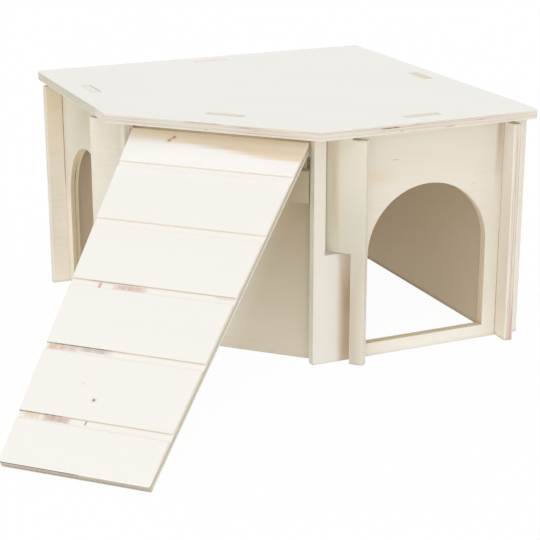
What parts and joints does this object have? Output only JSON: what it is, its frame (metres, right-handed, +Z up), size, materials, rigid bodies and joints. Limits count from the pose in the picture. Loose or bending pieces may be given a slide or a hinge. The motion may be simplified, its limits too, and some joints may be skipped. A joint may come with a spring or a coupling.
{
  "type": "small animal house",
  "caption": "Slot-together plywood corner house for a small pet, with arched doorways in its side walls, a lift-off flat roof and a grooved ramp that hooks on under the roof's front edge.",
  "frame": {"origin": "centre of the bounding box's base, on the surface that the house stands on", "axes": "+Z up; +Y from the ramp towards the back corner; +X to the right, seen from the ramp"},
  "size_m": [0.2944, 0.3952, 0.127],
  "materials": {
    "face_ply": "unfinished, sanded"
  },
  "bodies": {
    "house": {"front_wall": "face_ply", "left_wall": "face_ply", "right_wall": "face_ply", "back_left_wall": "face_ply", "back_right_wall": "face_ply", "ramp_rail": "face_ply"},
    "roof": {"roof": "face_ply"},
    "ramp": {"ramp": "face_ply", "ramp_hook_left": "face_ply", "ramp_hook_right": "face_ply"}
  },
  "joints": [
    {"name": "roof_lift", "type": "slide", "parent": "house", "child": "roof", "axis": [0, 0, 1], "range_m": [0, 0.06]},
    {"name": "ramp_swing", "type": "hinge", "parent": "house", "child": "ramp", "pos_m": [0, -0.02215, 0.1032], "axis": [-1, 0, 0], "range_deg": [0, 20]}
  ]
}
